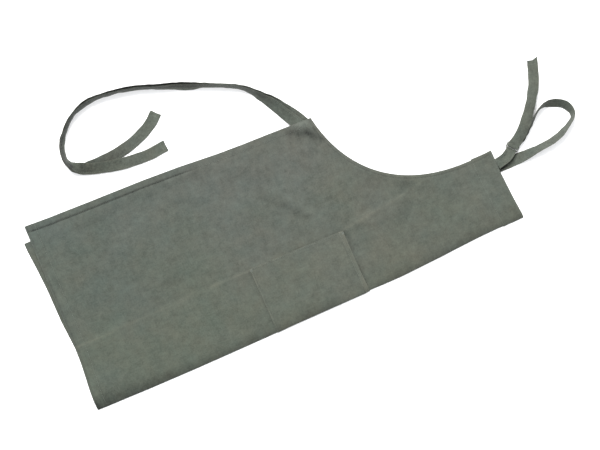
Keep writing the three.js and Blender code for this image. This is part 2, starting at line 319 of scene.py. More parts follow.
# Wrinkles of the upper layer, and the short gathers that run into the tie's stitching at the waist corner:
# x and y of each point of a line, its width and its height.
WRINKLES = (
    (2, 60, 20, 30, 58, -14, 9, -1), (-22, 80, 8, 46, 7, -0.8), (14, 66, 40, 34, 74, -4, 12, 0.7),
    (190, -22, 236, -12, 268, -8, 10, -0.7), (-420, -8, -392, -16, -350, -12, 14, -0.6),
    (-432, -52, -380, -58, -330, -60, 6, 0.5), (-300, 60, -230, 84, -160, 92, 22, 0.5),
    (-260, 20, -200, -6, -120, -18, 20, -0.5), (-60, 110, 10, 122, 70, 118, 16, 0.5),
    (300, -96, 350, -118, 400, -128, 18, 0.5), (126, -70, 122, -120, 116, -168, 5.5, -0.8),
    (136, -74, 148, -104, 9, -0.5), (60, 60, 110, 84, 136, 112, 10, -0.5),
)
GATHERS = (
    (96, 142, 84, 118, 3.6, -1.35), (106, 143, 102, 112, 4.2, 1.05), (115, 143, 113, 116, 3.8, -1.5),
    (124, 142, 126, 112, 4.2, 1.05), (132, 141, 136, 116, 3.4, -1.65), (141, 138, 144, 112, 3.8, 0.75),
    (146, 132, 151, 100, 3, -0.9),
)


def strokes(x, y, rows, fade=0.0):
    """The sum of soft lines laid over the plan, each of which fades along its length."""
    z = np.zeros_like(x)
    for *path, width, amount in rows:
        d, along, run = line_distance(x, y, list(zip(path[::2], path[1::2])))
        z += amount * bell(d, width) * (1 - fade * along / run)
    return z


def edges_of(half, x, y):
    """Distance from and along the side, the armhole, the hem and the bib's end."""
    return [line_distance(x, y, line) for line in (half.side, half.arm, half.hem, half.bib_end)]


SIDE_HEM, BOTTOM_HEM, ARM_HEM, BIB_FACING = 13.0, 20.0, 5.6, 41.0


def hem_relief(half, x, y, deep):
    """The stitched grooves and slightly raised bands along the edges, on the cloth's outer face."""
    side, arm, hem, bib = edges_of(half, x, y)
    z = np.zeros_like(x)
    gather = 0.06 * np.sin(2 * math.pi * side[1] / 7.3) + 0.04 * np.sin(2 * math.pi * side[1] / 4.1)
    fade = 1 - 0.75 * smooth(300, 360, side[1])
    z += -deep * fade * bell(side[0] - SIDE_HEM, 1.5) + gather * bell(side[0] - SIDE_HEM, 4)
    z += 0.3 * fade * (1 - smooth(SIDE_HEM - 4, SIDE_HEM, side[0])) * smooth(0, 5, side[0])
    gather = 0.05 * np.sin(2 * math.pi * hem[1] / 6.7)
    for (distance, *_), width, groove, spread, rise, ramp in (
            (hem, BOTTOM_HEM, gather - 0.3, 1.5, 0.16, 3), (arm, ARM_HEM, -0.45, 1.3, 0.3, 1.5),
            (bib, BIB_FACING, -0.28, 1.5, 0.1, 3)):
        z += groove * bell(distance - width, spread)
        z += rise * (1 - smooth(width - ramp, width, distance))
    return z


def top_height(x, y):
    """Middle of the upper layer."""
    q = y - fold_edge(x)
    crease, along, run = line_distance(x, y, CREASE)
    strip, beyond = smooth(0, -70, above_crease(x, y)), smooth(0, 90, above_crease(x, y))
    z = TOP_LEVEL + 0.55 * strip + 0.35 * beyond
    calm = 1 - 0.75 * in_pocket(x, y)
    z = z + calm * (0.22 * waves(x, y, 120, 3, stretch=1.5) + 0.1 * waves(x, y, 46, 5))
    z = z + (0.5 + 0.5 * calm) * (0.045 * waves(x, y, 21, 8) + 0.022 * waves(x, y, 11, 9))
    z = z + calm * strokes(x, y, WRINKLES) + strokes(x, y, GATHERS, 0.7)
    z = z + 0.34 * bell(crease, 2.6) * (1 - 0.6 * smooth(700, 800, along)) - 0.12 * bell(crease, 9)
    z = z + hem_relief(front_cut, x, y, 1.0)
    edge = np.min([distance for distance, along, run in edges_of(front_cut, x, y)], axis=0)
    z = np.maximum(z - 0.35 * (1 - smooth(0, 9, edge)), LOWEST_TOP)
    tip = tip_height(x)
    share = np.interp(q, ROLL_Q, ROLL_Z)
    return tip + (z - tip) * share


def bottom_height(x, y):
    """Middle of the lower layer."""
    q = y - fold_edge(x)
    z = 0.5 + 0.98 * in_pocket(x, y) + 0.05 * (1 + np.tanh(waves(x, y, 60, 21)))
    z = z + 0.03 * (1 + np.tanh(waves(x, y, 18, 22)))
    tip = tip_height(x)
    reach = 2.2
    inside = np.clip(1 - q / reach, 0, 1)
    return tip - (tip - z) * np.sqrt(np.clip(1 - inside ** 2, 0, 1))


front_cut.height, back_cut.height = top_height, bottom_height


def surface(half, x, y):
    """Points of the middle of one half's cloth."""
    return np.stack([x, y, half.height(x, y)], -1)


# Rows of the cloth's grid: distances from the fold, and distances from the far edge.
NEAR = np.array([0, 0.05, 0.2, 0.45, 0.8, 1.2, 1.7, 2.2, 3, 4, 5.2, 6.6, 8.2, 10, 12, 14.5, 17.5, 21])
FAR = np.array([46, 43, 41.8, 41, 40.2, 39, 36, 31, 26, 22, 20.8, 20, 19.2, 17.5, 15.2, 14, 13.4, 13, 12.6,
                12, 10.8, 8.6, 7, 6.2, 5.6, 5, 4, 2.4, 1.2, 0.4, 0])
MIDDLE_ROWS = 72


def column_rows(lengths):
    """Distances from the fold for every row, one column of rows for each column of the cloth."""
    rows = []
    for length in lengths:
        far = FAR[FAR < length * 0.42]
        far = np.concatenate([np.linspace(length * 0.42, far[0], len(FAR) - len(far) + 1)[:-1], far])
        middle = np.linspace(NEAR[-1], length - far[0], MIDDLE_ROWS + 2)[1:-1]
        rows.append(np.concatenate([NEAR, middle, length - far]))
    return np.array(rows).T


def half_grid(half):
    """Plan points of one half, from the fold outward, and their distance from the fold."""
    foot = np.stack([foot_x, fold_edge(foot_x)], 1)
    way = edge_points(half) - foot
    lengths = np.linalg.norm(way, axis=1)
    d = column_rows(lengths)
    v = d / lengths
    x = foot[:, 0] + way[:, 0] * v
    y = foot[:, 1] + way[:, 1] * v
    columns = np.arange(COLS)
    hem_x = np.interp(y[:, :1], half.hem[:, 1], half.hem[:, 0])
    near_hem = (1 - columns / SIDE_COLS).clip(0) ** 3
    bib_x = np.interp(y[:, -1:], half.bib_end[::-1, 1], half.bib_end[::-1, 0])
    near_bib = (1 - (COLS - 1 - columns) / 60).clip(0) ** 2
    return x + (hem_x - x[:, :1]) * near_hem + (bib_x - x[:, -1:]) * near_bib, y, d


def plan_normals(height, x, y):
    """Upward unit normals of a height function."""
    e = 0.25
    dx = (height(x + e, y) - height(x - e, y)) / (2 * e)
    dy = (height(x, y + e) - height(x, y - e)) / (2 * e)
    return unit(np.stack([-dx, -dy, np.ones_like(x)], -1))


# -------- materials

class Graph:
    """A short way to write shader nodes."""

    def __init__(self, name, **surface):
        self.material = bpy.data.materials.new(name)
        self.material.use_nodes = True
        self.tree = self.material.node_tree
        self.bsdf = self.tree.nodes["Principled BSDF"]
        for key, value in surface.items():
            self.bsdf.inputs[key.replace("_", " ")].default_value = value

    def put(self, value, target):
        if isinstance(value, bpy.types.NodeSocket):
            self.tree.links.new(value, target)
        else:
            target.default_value = value

    def node(self, kind, *values, operation=None, **named):
        node = self.tree.nodes.new("ShaderNode" + kind)
        if operation:
            node.operation = operation
        for i, value in enumerate(values):
            self.put(value, node.inputs[i])
        for key, value in named.items():
            self.put(value, node.inputs[key])
        return node

    def math(self, operation, a, b=0.0):
        return self.node("Math", a, b, operation=operation).outputs[0]

    def total(self, *terms):
        """The sum of values times weights."""
        result = None
        for value, weight in terms:
            term = self.math("MULTIPLY", value, weight)
            result = self.math("ADD", result, term) if result else term
        return result

    def noise(self, vector, scale, detail=2.0, rough=0.5):
        return self.node("TexNoise", vector, Scale=scale, Detail=detail, Roughness=rough).outputs["Fac"]

    def grain(self, *how):
        """Noise about zero."""
        return self.math("SUBTRACT", self.noise(*how), 0.5)

    def stretched(self, vector, x, y, shift=0.0):
        return self.node("Mapping", vector, Scale=(x, y, 1), Location=(shift, shift * 0.7, 0)).outputs[0]

    def flat(self):
        node = self.node("UVMap")
        node.uv_map = "flat"
        return node.outputs[0]

    def value_of(self, name):
        node = self.node("Attribute")
        node.attribute_name = name
        return node.outputs["Fac"]

    def vector_math(self, operation, *values, **named):
        return self.node("VectorMath", *values, operation=operation, **named).outputs[0]

    def mix_colour(self, factor, a, b):
        node = self.node("Mix", factor)
        node.data_type = "RGBA"
        node.inputs[6].default_value = (*a, 1)
        node.inputs[7].default_value = (*b, 1)
        return node.outputs[2]

    def bump(self, height, strength, distance):
        node = self.node("Bump", Height=height, Strength=strength, Distance=distance)
        self.put(node.outputs[0], self.bsdf.inputs["Normal"])


MARK_GAIN = 0.22  # how far wear and painted highlight lighten, and soil and painted shade darken, the cloth


def canvas(name, gain=1.0, pitch=0.00095, spots=1.0):
    """Plain-weave canvas: two sets of slubbed threads, mottled dye, and the mesh's wear and painted
    highlight, which lighten it, and its soil and painted shade, which darken it.
    """
    g = Graph(name, Roughness=0.94, Specular_IOR_Level=0.18, Sheen_Weight=0.12, Sheen_Roughness=0.5)
    flat = g.flat()
    plan = g.node("SeparateXYZ", flat).outputs
    shift = g.math("MULTIPLY", g.grain(flat, 90, 2), 0.0012)
    turn = 2 * math.pi / pitch
    warp, weft = (g.math("SINE", g.math("MULTIPLY", g.math("ADD", plan[i], shift), turn)) for i in (0, 1))
    weave = g.math("MULTIPLY", warp, weft)
    slubs = g.math("ADD", g.grain(g.stretched(flat, 60, 1500), 1, 3, 0.6),
                   g.grain(g.stretched(flat, 1500, 70, 3.0), 1, 3, 0.6))
    streaks = g.math("ADD", g.grain(g.stretched(flat, 18, 420, 5.0), 1, 2, 0.55),
                     g.grain(g.stretched(flat, 420, 22, 9.0), 1, 2, 0.55))
    # The mesh's wear and painted highlight lighten the tone, and its soil and painted shade darken it.
    tone = g.total((slubs, 0.24), (streaks, 0.14), (g.grain(flat, 150, 3, 0.65), 0.5 * spots),
                   (g.grain(flat, 330, 2, 0.5), 0.42 * spots), (g.grain(flat, 62, 2, 0.5), 0.48),
                   (g.grain(flat, 22, 2, 0.5), 0.26), (weave, 0.05), (g.value_of("wear_and_painted_highlight"), MARK_GAIN))
    tone = g.math("SUBTRACT", tone, g.math("MULTIPLY", g.value_of("painted_shade_and_soil"), MARK_GAIN))
    warm = g.math("ADD", g.total((g.grain(flat, 7, 2, 0.5), 0.9), (g.grain(flat, 26, 3, 0.6), 1.2)), 0.5)
    warm = g.math("ADD", warm, g.math("MULTIPLY", g.value_of("wear_and_painted_highlight"), 0.3))
    warm = g.math("ADD", warm, g.value_of("warm"))
    yellow = g.math("MULTIPLY", g.grain(g.stretched(flat, 9, 9, 4.0), 1, 3, 0.5), 1.2)
    yellow = g.math("ADD", g.math("ADD", yellow, 0.5), g.value_of("yellow"))
    colour = g.vector_math("MULTIPLY", g.mix_colour(warm, (0.0570, 0.0702, 0.0604), (0.0693, 0.0720, 0.0586)),
                           g.mix_colour(yellow, (1, 1, 1.04), (1, 1, 0.92)))
    factor = g.math("MULTIPLY", g.math("ADD", tone, 1.0), gain)
    g.put(g.vector_math("SCALE", colour, Scale=factor), g.bsdf.inputs["Base Color"])
    g.bump(g.total((weave, 0.5), (slubs, 1.1), (streaks, 0.5)), 0.6, 0.00022)
    return g.material


canvas_material = canvas("canvas")
trim_material = canvas("canvas_trim", 0.97)
strap_material = canvas("strap_canvas", 1.0, 0.0008, 1.6)


def thread():
    g = Graph("thread", Base_Color=(0.094, 0.106, 0.088, 1), Roughness=0.7, Sheen_Weight=0.15)
    plan = g.node("SeparateXYZ", g.flat()).outputs
    g.bump(g.math("SINE", g.math("MULTIPLY", g.math("ADD", plan[0], plan[1]), 9000)), 0.4, 0.00006)
    return g.material


def lacquer():
    g = Graph("slider_metal", Specular_IOR_Level=0.35)
    coords = g.node("TexCoord").outputs["Object"]
    fine = g.noise(coords, 900, 3, 0.6)
    colour = g.mix_colour(g.noise(coords, 160, 3, 0.6), (0.062, 0.068, 0.059), (0.088, 0.094, 0.081))
    g.put(colour, g.bsdf.inputs["Base Color"])
    g.put(g.math("ADD", g.math("MULTIPLY", fine, 0.2), 0.42), g.bsdf.inputs["Roughness"])
    g.bump(fine, 0.15, 0.00004)
    return g.material


thread_material, slider_material = thread(), lacquer()


def dress(obj, material, body=None):
    obj.data.materials.append(material)
    if body:
        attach(obj, body)
    return obj


def trim(name, points, half_thick, uv, painted_shade_and_soil, bulge, body, up=None):
    """A doubled piece of cloth on a grid. It is turned over if its normals don't look the way up says."""
    if up and grid_normals(points)[..., 2].mean() * up < 0:
        points, uv = points[::-1], uv[::-1]
    zero = np.zeros(points.shape[:2])
    obj = shell(name, points, half_thick, uv, {"wear_and_painted_highlight": zero, "painted_shade_and_soil": zero + painted_shade_and_soil}, bulge)
    dress(obj, trim_material, body)
    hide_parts(name)
    return obj


# -------- straps

def spline(points, per_span=14):
    """Centripetal Catmull-Rom through the points, with the span position of every sample."""
    p = np.array(points, float)
    ext = np.vstack([2 * p[0] - p[1], p, 2 * p[-1] - p[-2]])
    out, where = [], []
    for i in range(1, len(ext) - 2):
        p0, p1, p2, p3 = ext[i - 1:i + 3]
        d0, d1, d2 = (max(np.linalg.norm(b - a) ** 0.5, 1e-4) for a, b in ((p0, p1), (p1, p2), (p2, p3)))
        m1 = ((p1 - p0) / d0 - (p2 - p0) / (d0 + d1) + (p2 - p1) / d1) * d1
        m2 = ((p2 - p1) / d1 - (p3 - p1) / (d1 + d2) + (p3 - p2) / d2) * d1
        for t in np.arange(per_span) / per_span:
            out.append((2 * t ** 3 - 3 * t ** 2 + 1) * p1 + (t ** 3 - 2 * t ** 2 + t) * m1
                       + (-2 * t ** 3 + 3 * t ** 2) * p2 + (t ** 3 - t ** 2) * m2)
            where.append(i - 1 + t)
    out.append(p[-1])
    where.append(len(p) - 1)
    return np.array(out), np.array(where)


def strap_frames(route, step):
    """Evenly spaced centre points, tangents, across directions and face normals of a flat strap.
    A route point is x, y and z in millimetres with a tilt in degrees or a direction across the strap."""
    line, where = spline([r[:3] for r in route])
    run = run_of(line)
    s = np.linspace(0, run[-1], max(int(run[-1] / step), 8) + 1)
    centre = points_at(s, run, line)
    at = np.interp(s, run, where)
    tangent = unit(np.gradient(centre, axis=0))
    line_tangent = unit(np.gradient(line, axis=0))
    across_at = []
    for i, r in enumerate(route):
        if len(r) == 4:
            t = line_tangent[min(np.searchsorted(where, i), len(line) - 1)]
            flat = unit(np.cross([0, 0, 1.0], t))
            a = math.radians(r[3])
            across_at.append(flat * math.cos(a) + np.cross(t, flat) * math.sin(a))
        else:
            across_at.append(unit(np.array(r[3:], float)))
    across_at = np.array(across_at)
    i = np.clip(np.floor(at).astype(int), 0, len(route) - 2)
    w = (at - i)[:, None]
    w = w * w * (3 - 2 * w)
    across = across_at[i] * (1 - w) + across_at[i + 1] * w
    across = unit(across - tangent * np.sum(across * tangent, 1, keepdims=True))
    return centre, tangent, across, np.cross(tangent, across), s


def strap_outline(width, thick):
    """A strap's section: round edges, and flat faces that each have a shallow groove where it is stitched."""
    flat = width / 2 - thick / 2
    u = np.array([-1, -0.93, -0.86, -0.8, -0.76, -0.72, -0.64, -0.4, -0.1, 0.2, 0.5, 0.75, 0.9, 1.0]) * flat
    groove = 0.2 * bell(u / (width / 2) + 0.74, 0.05) + 0.1 * bell(u / (width / 2), 0.5)
    h = thick / 2 - groove * 0.5
    arc = np.radians([60, 30, 0, -30, -60])
    right = [(flat + math.cos(a) * thick / 2, math.sin(a) * thick / 2) for a in arc]
    left = [(-x, -y) for x, y in right]
    return np.array([*zip(u, h), *right, *zip(u[::-1], -h[::-1]), *left])


def strap(name, route, offset=0.0, width=20.0, thick=1.2, step=2.2, ripple=0.25, seed=1, end_skew=0.0,
          painted_shade_spots=(), fan=(), shade=0.0):
    """A flat strap swept along its route. It waves and curls a little and darkens with painted shade round
    its shade spots. It leans about its lower edge at the fan's stations, and where it stands on edge its
    upper half gets painted shade."""
    centre, tangent, across, face, s = strap_frames(route, step)
    lean = sum((np.radians(degrees) * bell(s - at, spread) for at, spread, degrees in fan), s * 0)[:, None]
    lower_edge = centre + across * width / 2
    across, face = (across * np.cos(lean) + face * np.sin(lean), face * np.cos(lean) - across * np.sin(lean))
    centre = lower_edge - across * width / 2
    outline = strap_outline(width, thick)
    n = len(centre)
    lift = offset + ripple * 0.5 * waves(s, s * 0, 38, seed) * smooth(0, 12, s)
    sway = ripple * waves(s, s * 0, 55, seed + 1)
    narrow = 1 + 0.018 * waves(s, s * 0, 30, seed + 2)
    middle = centre + face * lift[:, None] + across * sway[:, None]
    edge_wave = 0.22 * ripple / 0.25 * waves(s, s * 0, 17, seed + 3)
    end_share = smooth(s[-1] - 20, s[-1], s)
    lines = []
    for u, h in outline:
        curl = h + edge_wave * (u / (width / 2)) ** 3
        skew = tangent * (end_skew * u / width) * end_share[:, None]
        lines.append(middle + across * (u * narrow)[:, None] + face * curl[:, None] + skew)
    verts = np.stack(lines, 1)
    m = len(outline)
    uv = np.stack([np.repeat(s, m), np.tile(outline[:, 0], n) + 400 * seed], 1)
    edge_wear = np.tile(bell(np.abs(outline[:, 0]) - width / 2, 1.3), n) * 0.9
    painted_shade_and_soil = np.zeros((n, m))
    # Painted shade round the shade spots, paler where a spot's strength is below zero.
    for x, y, radius, amount in painted_shade_spots:
        painted_shade_and_soil += amount * bell(np.hypot(verts[..., 0] - x, verts[..., 1] - y), radius)
    # Painted shade on the upper half of a strap that stands on edge, less towards the ties' roots.
    height = (verts[..., 2] - middle[:, None, 2]) / (width / 2)
    on_edge = smooth(0.5, 0.85, np.abs(across[:, 2]))[:, None] * (1 - 0.45 * smooth(-20, 40, verts[..., 0]))
    painted_shade_and_soil += shade * on_edge * smooth(-0.4, 0.1, height)
    obj = make_mesh(name, verts.reshape(-1, 3), tube_faces(n, m), uv, {"wear_and_painted_highlight": edge_wear, "painted_shade_and_soil": painted_shade_and_soil})
    return obj, {"middle": middle, "tangent": tangent, "across": across, "face": face, "s": s, "thick": thick,
                 "width": width, "narrow": narrow, "edge_wave": edge_wave}


def sample(info, s):
    """The strap's middle, tangent, direction across and face normal at a distance along it."""
    return [points_at(s, info["s"], info[key]) for key in ("middle", "tangent", "across", "face")]


# The two waist ties lie face to face over this run of x, y, z in millimetres and tilt in degrees.
TIE_RUN = [
    (51.7, 257, 10.2, -79), (37.1, 265.5, 10.4, -78), (21.2, 274, 10.5, -80), (5.7, 281.3, 10.5, -79),
    (-10.5, 288.5, 10.4, -77), (-27.7, 294.3, 10.2, -67), (-44.4, 300.7, 10.2, -66),
    (-60.9, 308.2, 10.4, -72), (-77.3, 314.9, 10.5, -76), (-93.8, 321.8, 10.5, -82),
    (-110.7, 328.5, 10.5, -83), (-127.7, 334.4, 10.5, -82), (-144.8, 339, 10.5, -83),
    (-162.5, 343.4, 10.5, -87), (-180.6, 346, 10.5, -81), (-198.4, 348, 10.5, -83),
    (-216.8, 347.3, 10.4, -79), (-234.8, 343.9, 10.5, -81), (-251.8, 337.9, 10.5, -86),
    (-266.9, 327.5, 10.5, -83), (-279.4, 314.9, 10.5, -82), (-290.6, 301, 10.5, -75),
    (-297.8, 285.2, 10.5, -76), (-299.9, 266.8, 10.4, -75), (-296.4, 255.8, 9.8, -66),
    (-290.7, 247.8, 7.6, -41), (-282.2, 241.2, 4.6, -14), (-273.7, 236.7, 3.4, -4),
]
FRONT_TIE_ROOT = [
    (126.5, 143.5, 4, 0), (118.5, 159, 4, -3), (109.8, 175.7, 4.3, -12), (101.1, 192.4, 5.2, -24),
    (91.4, 209, 6.6, -37), (80.8, 224.4, 8.4, -52), (67.4, 241.8, 9.8, -70),
]
BACK_TIE_ROOT = [
    (134.5, 145.5, 2.8, 0), (127.5, 160, 2.8, -3), (117.2, 176.6, 3.1, -12), (106.1, 193.4, 4.2, -25),
    (94.5, 210, 6, -40), (82.6, 225.6, 8.2, -55), (68.2, 242.8, 9.8, -70),
]
FRONT_TIE_END = [(-264, 232.5, 3.4, 6), (-248, 227.5, 3.6, 8), (-227, 221.3, 3.4, 6),
                 (-207, 217.2, 2.4, 3), (-186, 214.4, 1.2, 0), (-166, 212.7, 0.6, 0),
                 (-146, 212.5, 0.6, 0), (-118.8, 214.6, 0.6, 0)]
BACK_TIE_END = [(-264, 236.8, 2.2, 0), (-245, 236.2, 1.8, 0), (-222.8, 237, 1.8, 0),
                (-201.8, 239.2, 1.8, 0), (-182.8, 243, 1.8, 0), (-163.3, 248.8, 1.8, 0),
                (-144.6, 256, 1.8, 0), (-127, 265.6, 1.8, 0), (-111, 278.5, 1.8, 0)]
TIE_WIDTH, NECK_WIDTH = 22.0, 20.4
PAIR = 0.78  # each tie's offset from the pair's middle
# Where the outer tie leans away from the inner one: distance along, spread, degrees.
TIE_FAN = ((60, 26, 5), (250, 30, 9), (335, 60, 7.5), (428, 22, 6))

# Neck strap: round its loop, under the slider, over its middle bar and on as the tail.
SLIDER_ANGLE = math.radians(41)
ALONG = np.array([math.cos(SLIDER_ANGLE), math.sin(SLIDER_ANGLE), 0])
ACROSS = np.array([-math.sin(SLIDER_ANGLE), math.cos(SLIDER_ANGLE), 0])
SLIDER_CENTRE = np.array([470.6, -53.4, 3.8])


def at_slider(along, z, across=0.0, way=-1):
    """A route point beside the slider's middle, with the strap's direction across it."""
    p = SLIDER_CENTRE + ALONG * along + ACROSS * across
    return (p[0], p[1], z, *(ACROSS * way))


def at_tab(along, z):
    return at_slider(along, z, way=1)


# Painted shade on the straps where they turn from the lamp, between the ties' plies, round the neck loop and
# beside the slider's tab, with paler spots below zero at the ties' ends: x, y, radius in millimetres and
# strength.
TIE_PAINTED_SHADING = ((-280, 236, 26, 1.8), (-245, 230, 34, 1.0), (-206, 232, 26, 0.6), (-150, 240, 90, 0.3),
            (102, 196, 46, 0.75), (-114.6, 272.3, 5, -1.0), (-123.4, 210.4, 5, -1.0))
BACK_TIE_PAINTED_SHADE = ((-32, 300, 26, 1.6), (-75, 316, 30, 1.8), (-125, 336, 32, 1.8), (-172, 346, 28, 1.4),
                 (84, 226, 22, 0.8))
NECK_PAINTED_SHADE = ((572, -8, 22, 1.1), (535, -12, 6, 2.0), (432, -84, 5.5, 3.0), (438, -83, 5.5, 3.0),
             (444, -80, 5, 2.8), (450, -77, 4.5, 2.4), (456, -74.5, 4.5, 2.4), (462, -71.5, 4.5, 2.4),
             (468, -68.5, 4.5, 2.2), (473, -66, 4, 1.4), (496, -52, 7, 2.0), (510, -39, 7, 2.0),
             (526, -23, 7, 2.0))
TAB_PAINTED_SHADE = tuple((459.6 + 2.5 * k, -49.3 - 2.9 * k, 2.2, 1.6) for k in range(6))

NECK = [
    (431, -77, 2.1, 0), (437, -77.5, 1.8, 0), (452, -78, 1.3, 0), (467, -77.8, 1.4, -2),
    (481, -77.7, 2.8, -18), (491, -77.4, 4.4, -30), (501, -76.7, 6.2, -41), (510.5, -76.3, 7.8, -50),
    (520.5, -75.4, 8.4, -53), (530.5, -74.7, 8.4, -53), (540.5, -73.8, 8.6, -54), (550, -71.6, 8.9, -57),
    (560, -68.9, 9.2, -60), (568.5, -64.7, 9.6, -65), (577.5, -60.2, 10.2, -74), (586, -55, 10.4, -76),
    (594, -48.7, 10.6, -80), (597.5, -40, 10, -70), (595.8, -30, 9, -56), (590.8, -21.4, 8.3, -50),
    (583, -15.2, 8.1, -48), (574, -10.8, 8, -46), (564.5, -7.6, 8.8, -54), (555, -6.4, 10, -68),
    (544.8, -9, 10.4, -77), (534.3, -15.6, 10, -77), (524.6, -23.6, 9.2, -70), (514.1, -30.9, 7.2, -56),
    (501.2, -38, 5, -36), (488.6, -44.6, 3.2, -16), at_slider(8.5, 2.2, -0.8), at_slider(4, 2.0, -0.2),
    at_slider(0.6, 2.2), at_slider(-1.5, 2.9), at_slider(-2.1, 3.9), at_slider(-1.4, 5.0),
    at_slider(0.8, 5.6), at_slider(4, 6.0, -0.3), at_slider(8.5, 7.6, -1.2), (486.5, -42.6, 10, 180),
    (496.8, -34.3, 13.8, 180), (507.8, -23.3, 16.6, 182), (517, -13, 17.2, 188), (526.3, -1.3, 16, 194),
    (535.2, 9.8, 14.2, 196), (542.6, 21.4, 11.4, 194), (550.1, 31.2, 8.6, 190), (555.7, 41.1, 6, 186),
    (560.5, 51.2, 3.6, 182), (564.5, 61.2, 2.2, 180), (568.9, 74.8, 1.4, 180), (570.3, 79.2, 1.2, 180),
]
SLIDER_TAB = [(430, -71.2, 4.75, 0), (438.6, -69.5, 6, -7), (450, -66.8, 7.4, -13),
              (459.5, -62, 7, -9), at_tab(-7.0, 5.5), at_tab(-5.3, 5.15), at_tab(-4.2, 4.7),
              at_tab(-3.9, 3.8), at_tab(-4.3, 3.0), at_tab(-5.4, 2.6), at_tab(-7.4, 3.0),
              (459, -62.2, 5.8, 172), (450, -66.8, 6, 167), (438.6, -69.5, 4.7, 173),
              (430, -71.2, 3.6, 180)]


tie_front, tie_front_info = strap(
    "waist_tie_front", FRONT_TIE_ROOT + TIE_RUN + FRONT_TIE_END, PAIR, width=TIE_WIDTH, seed=31, end_skew=2.5,
    painted_shade_spots=TIE_PAINTED_SHADING, shade=2.9)
tie_back, tie_back_info = strap(
    "waist_tie_back", BACK_TIE_ROOT + TIE_RUN + BACK_TIE_END, -PAIR, width=TIE_WIDTH, seed=41, end_skew=-3,
    painted_shade_spots=TIE_PAINTED_SHADING + BACK_TIE_PAINTED_SHADE, fan=TIE_FAN, shade=1.6)
neck, neck_info = strap(
    "neck_strap", NECK, width=NECK_WIDTH, step=1.1, ripple=0.12, seed=51, end_skew=12, painted_shade_spots=NECK_PAINTED_SHADE)
tab, tab_info = strap("slider_tab", SLIDER_TAB, thick=1.0, step=0.8, ripple=0.06, seed=61, painted_shade_spots=TAB_PAINTED_SHADE)

for strap_object, strap_body, *cad_nodes in (
        (tie_front, FRONT, "waist_tie_front"), (tie_back, BACK, "waist_tie_back"),
        (neck, BACK, "neck_strap", "neck_strap_tail"), (tab, FRONT, "slider_tab")):
    dress(strap_object, strap_material, strap_body)
    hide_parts(*cad_nodes)


END_HEM = 9.0


def end_hem(name, info, body=BACK):
    """The strap's end turned under and stitched: a doubled piece over the last stretch."""
    keep = info["s"] > info["s"][-1] - END_HEM
    keep[-1] = True
    middle, tangent, across, normal = (info[k][keep] for k in ("middle", "tangent", "across", "face"))
    under = -normal * (np.sign(normal[-1][2]) or 1.0)
    w = info["width"] / 2 - 0.7
    u = np.linspace(-w, w, 12)
    grid = middle[:, None] + across[:, None] * u[None, :, None] + under[:, None] * (info["thick"] / 2 + 0.25)
    grid = grid + tangent[-1] * 0.2
    uv = np.stack(np.broadcast_arrays(info["s"][keep][:, None], u[None] + 900), -1)
    grid[..., 2] = np.maximum(grid[..., 2], 0.32)
    if grid_normals(grid)[0, 0, 2] < 0:
        grid, uv = grid[:, ::-1], uv[:, ::-1]
    return trim(name, grid, 0.22, uv, 0.2, 0.15, body)


hem_tie_front = end_hem("tie_end_hem_front", tie_front_info, FRONT)
hem_tie_back = end_hem("tie_end_hem_back", tie_back_info)
hem_neck = end_hem("neck_strap_end_hem", neck_info)


# -------- the folded cloth

front_x, front_y, front_run = half_grid(front_cut)
back_x, back_y, back_run = half_grid(back_cut)
middle = both_layers(surface(back_cut, back_x, back_y), surface(front_cut, front_x, front_y))
flat_uv = np.stack([middle[..., 0] + 1000, both_layers(-back_run, front_run)], -1)


def dye(x, y):
    """How the cloth's colour drifts across it: what is added to its warm and yellow shares."""
    along = smooth(-240, 0, x)
    warm = -0.18 + 0.32 * along + 0.2 * smooth(40, 120, y) * smooth(0, 100, x) - 0.05 * smooth(150, 300, x)
    return {"warm": warm, "yellow": 0.14 - 0.0024 * y - 0.33 * along}


def fold_painted_shade(x, q):
    """Painted shade that darkens the cloth along the folded edge, where it rolls away from the lamp."""
    reach = np.interp(x, [-435, -370, -250, -60, -10, 50, 75, 120, 160, 340, 435],
                      [22, 20, 13, 13, 14, 13, 5, 5, 12, 13, 11])
    depth = np.interp(x, [-435, -370, -250, -60, -10, 50, 75, 120, 160, 250, 310, 360, 435],
                      [2.7, 2.1, 1.4, 1.1, 1.5, 1.3, 0.3, 0.5, 1.0, 0.9, 1.2, 0.9, 0.7])
    return depth * bell(q, reach)


